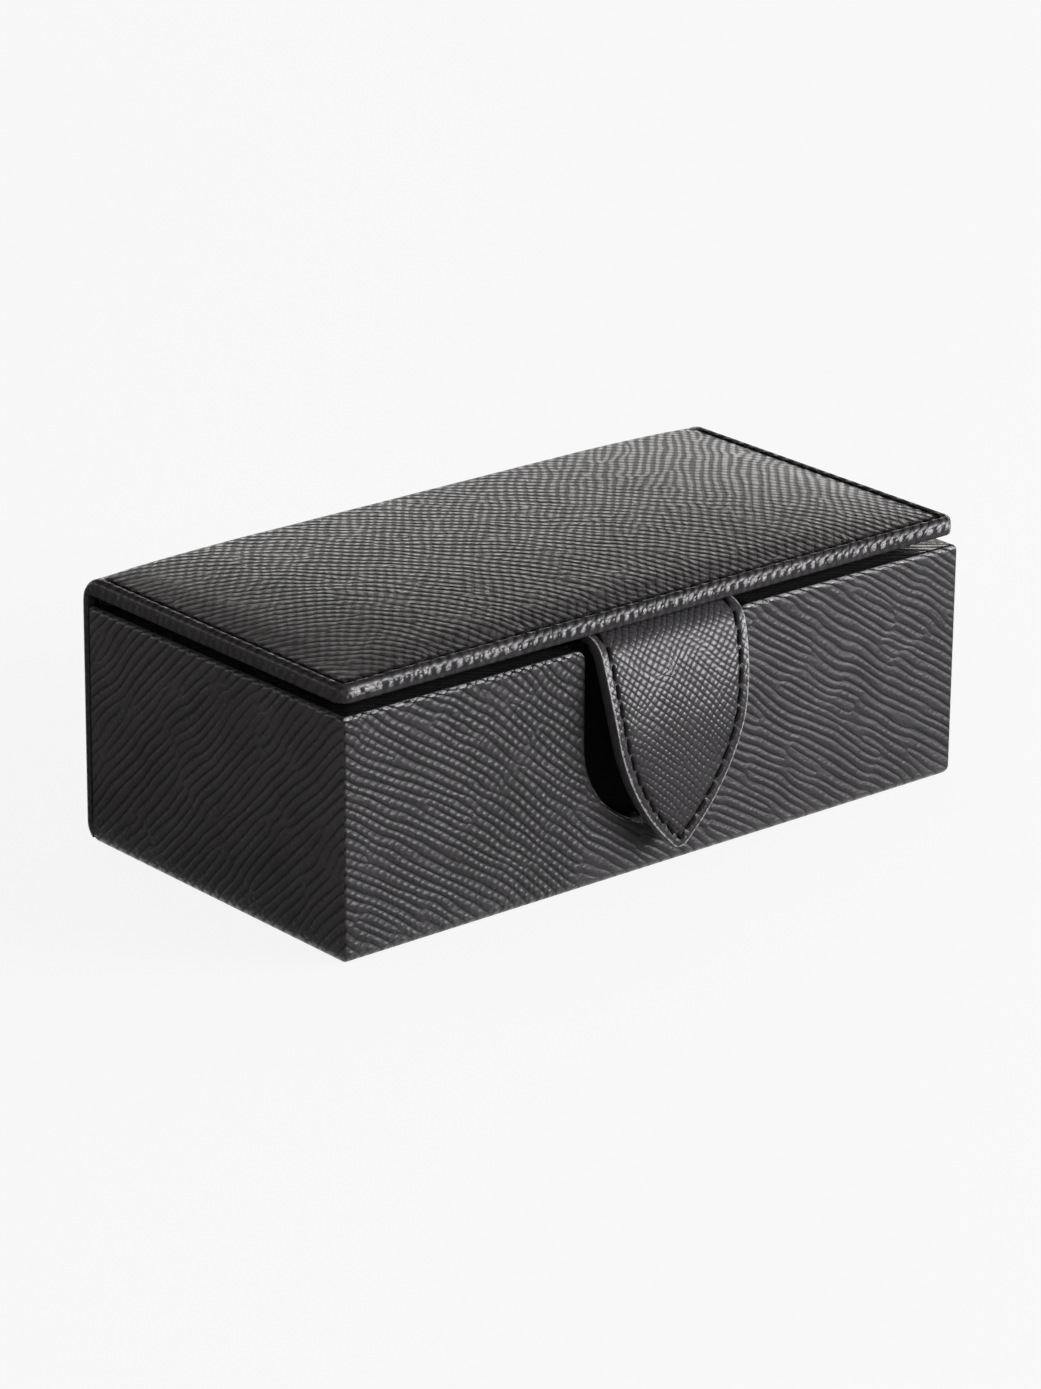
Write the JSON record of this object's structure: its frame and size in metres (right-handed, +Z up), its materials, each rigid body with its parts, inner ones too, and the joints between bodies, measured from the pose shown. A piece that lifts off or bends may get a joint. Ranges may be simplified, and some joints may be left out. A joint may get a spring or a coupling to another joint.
{
  "type": "cufflink display box",
  "caption": "Rectangular leather-covered box with a padded, stitched hinged lid, a pointed pull tab over a finger recess, and lined compartments for cufflinks.",
  "frame": {"origin": "centre of the underside, which the box stands on", "axes": "+X along the length, +Y to the hinged back, +Z up; the pull tab is on the -Y face"},
  "size_m": [0.145, 0.0808, 0.0525],
  "materials": {
    "leather_cover": "charcoal leather with an embossed diagonal cross grain, soft sheen",
    "leather_lining": "smooth black lining leather with painted edges",
    "board": "plain fibreboard, covered on all sides",
    "suede": "dark grey suede cloth, matt with a short nap",
    "underside_cloth": "black cloth glued under the box",
    "foam": "thin padding foam, covered on all sides",
    "thread": "black waxed sewing thread",
    "stiffener": "bonded fibre stiffener inside the tab"
  },
  "bodies": {
    "base": {"underside_cover": "underside_cloth", "floor_board": "board", "front_wall_board": "board", "rear_wall_board": "board", "left_wall_board": "board", "right_wall_board": "board", "front_leather": "leather_cover", "left_leather": "leather_cover", "right_leather": "leather_cover", "rear_leather": "leather_cover", "spine_leather": "leather_cover", "liner_front": "suede", "liner_rear": "suede", "liner_left": "suede", "liner_right": "suede", "long_divider_1": "suede", "cross_divider_1": "suede", "cross_divider_2": "suede", "cross_divider_3": "suede", "cushion_1": "suede", "cushion_2": "suede", "cushion_3": "suede", "cushion_4": "suede", "cushion_5": "suede", "cushion_6": "suede", "cushion_7": "suede", "cushion_8": "suede"},
    "lid": {"lid_lining_leather": "leather_lining", "lid_board": "board", "lid_foam": "foam", "lid_top_leather": "leather_cover", "lid_thread": "thread", "lid_inner_pad": "suede", "tab_root": "leather_lining"},
    "tab": {"tab_outer_leather": "leather_cover", "tab_core": "stiffener", "tab_lining_leather": "leather_lining", "tab_thread": "thread"}
  },
  "joints": [
    {"name": "lid_hinge", "type": "hinge", "parent": "base", "child": "lid", "pos_m": [0, 0.0375, 0.0462], "axis": [-1, 0, 0], "range_deg": [0, 105]},
    {"name": "tab_fold", "type": "hinge", "parent": "lid", "child": "tab", "pos_m": [0, -0.0371, 0.04714], "axis": [-1, 0, 0], "range_deg": [0, 85]}
  ]
}
